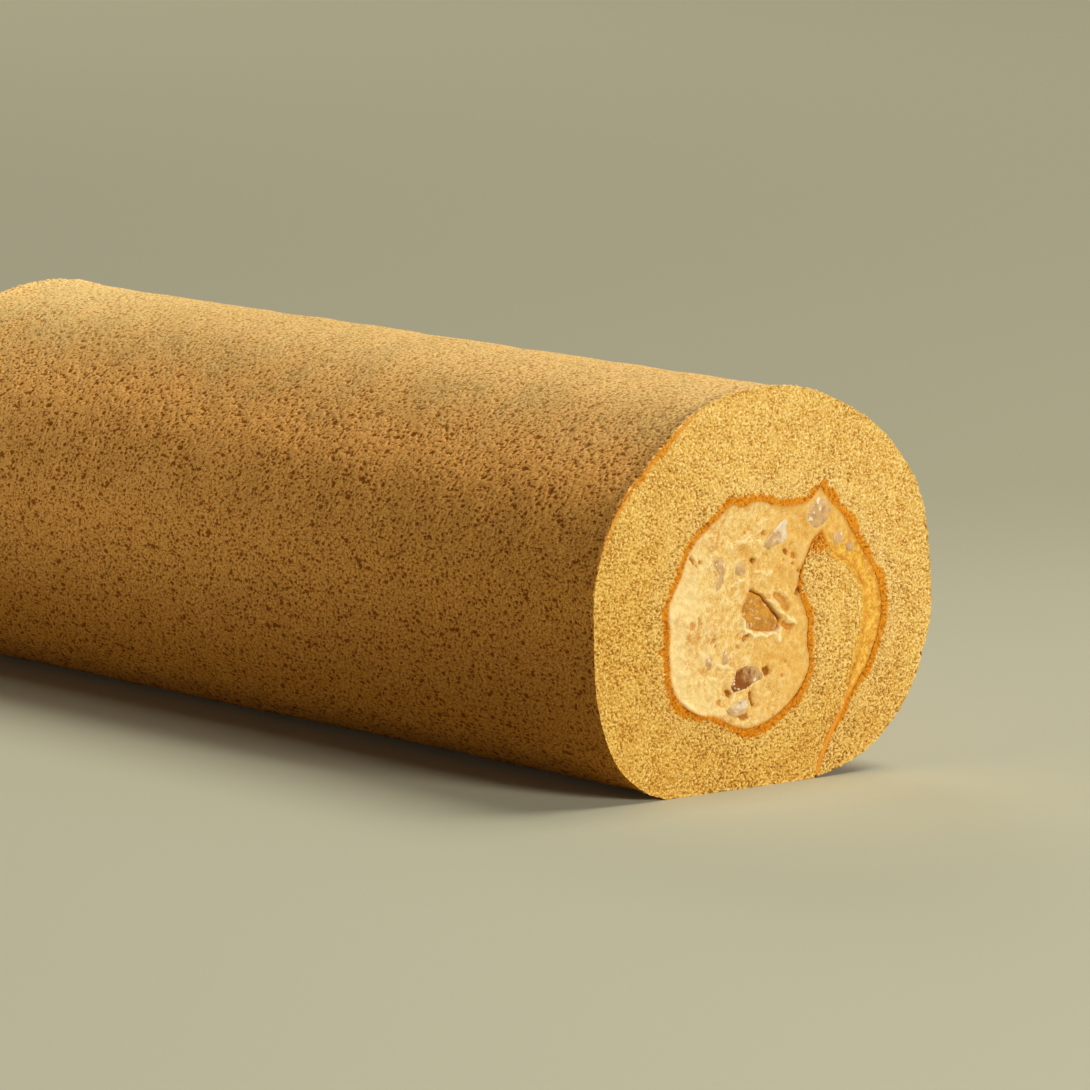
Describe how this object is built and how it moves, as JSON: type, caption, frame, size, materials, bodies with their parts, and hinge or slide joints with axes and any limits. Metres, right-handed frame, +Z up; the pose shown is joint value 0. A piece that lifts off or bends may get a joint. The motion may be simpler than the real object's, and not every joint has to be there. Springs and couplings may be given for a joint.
{
  "type": "swiss roll cake",
  "caption": "Whole sponge roll, cut square at both ends, with a light cream filling and soft fruit chunks inside; it rests on the flat strip of its underside.",
  "frame": {"origin": "on the surface that the roll rests on, under the middle of its bounding box", "axes": "+X along the roll, towards the cut end whose free sheet end ends low on the right; +Y across it; +Z up"},
  "size_m": [0.228, 0.0828, 0.075],
  "materials": {
    "sponge": "open-pored matt sponge: golden crumb at the cut ends, browner outside, toasted skin on the side that faces the filling",
    "cream": "pale caramel cream with a soft sheen, smeared and pitted by the knife at the cut ends",
    "fruit": "moist, slightly translucent stewed fruit"
  },
  "bodies": {
    "root": {"sponge_sheet": "sponge", "cream_filling": "cream", "fruit_chunk_01": "fruit", "fruit_chunk_02": "fruit", "fruit_chunk_03": "fruit", "fruit_chunk_04": "fruit", "fruit_chunk_05": "fruit", "fruit_chunk_06": "fruit", "fruit_chunk_07": "fruit", "fruit_chunk_08": "fruit", "fruit_chunk_09": "fruit", "fruit_chunk_10": "fruit", "fruit_chunk_11": "fruit", "fruit_chunk_12": "fruit", "fruit_chunk_13": "fruit", "fruit_chunk_14": "fruit", "fruit_chunk_15": "fruit", "fruit_chunk_16": "fruit", "fruit_chunk_17": "fruit", "fruit_chunk_18": "fruit", "fruit_chunk_19": "fruit", "fruit_chunk_20": "fruit", "fruit_chunk_21": "fruit", "fruit_chunk_22": "fruit"}
  },
  "joints": []
}
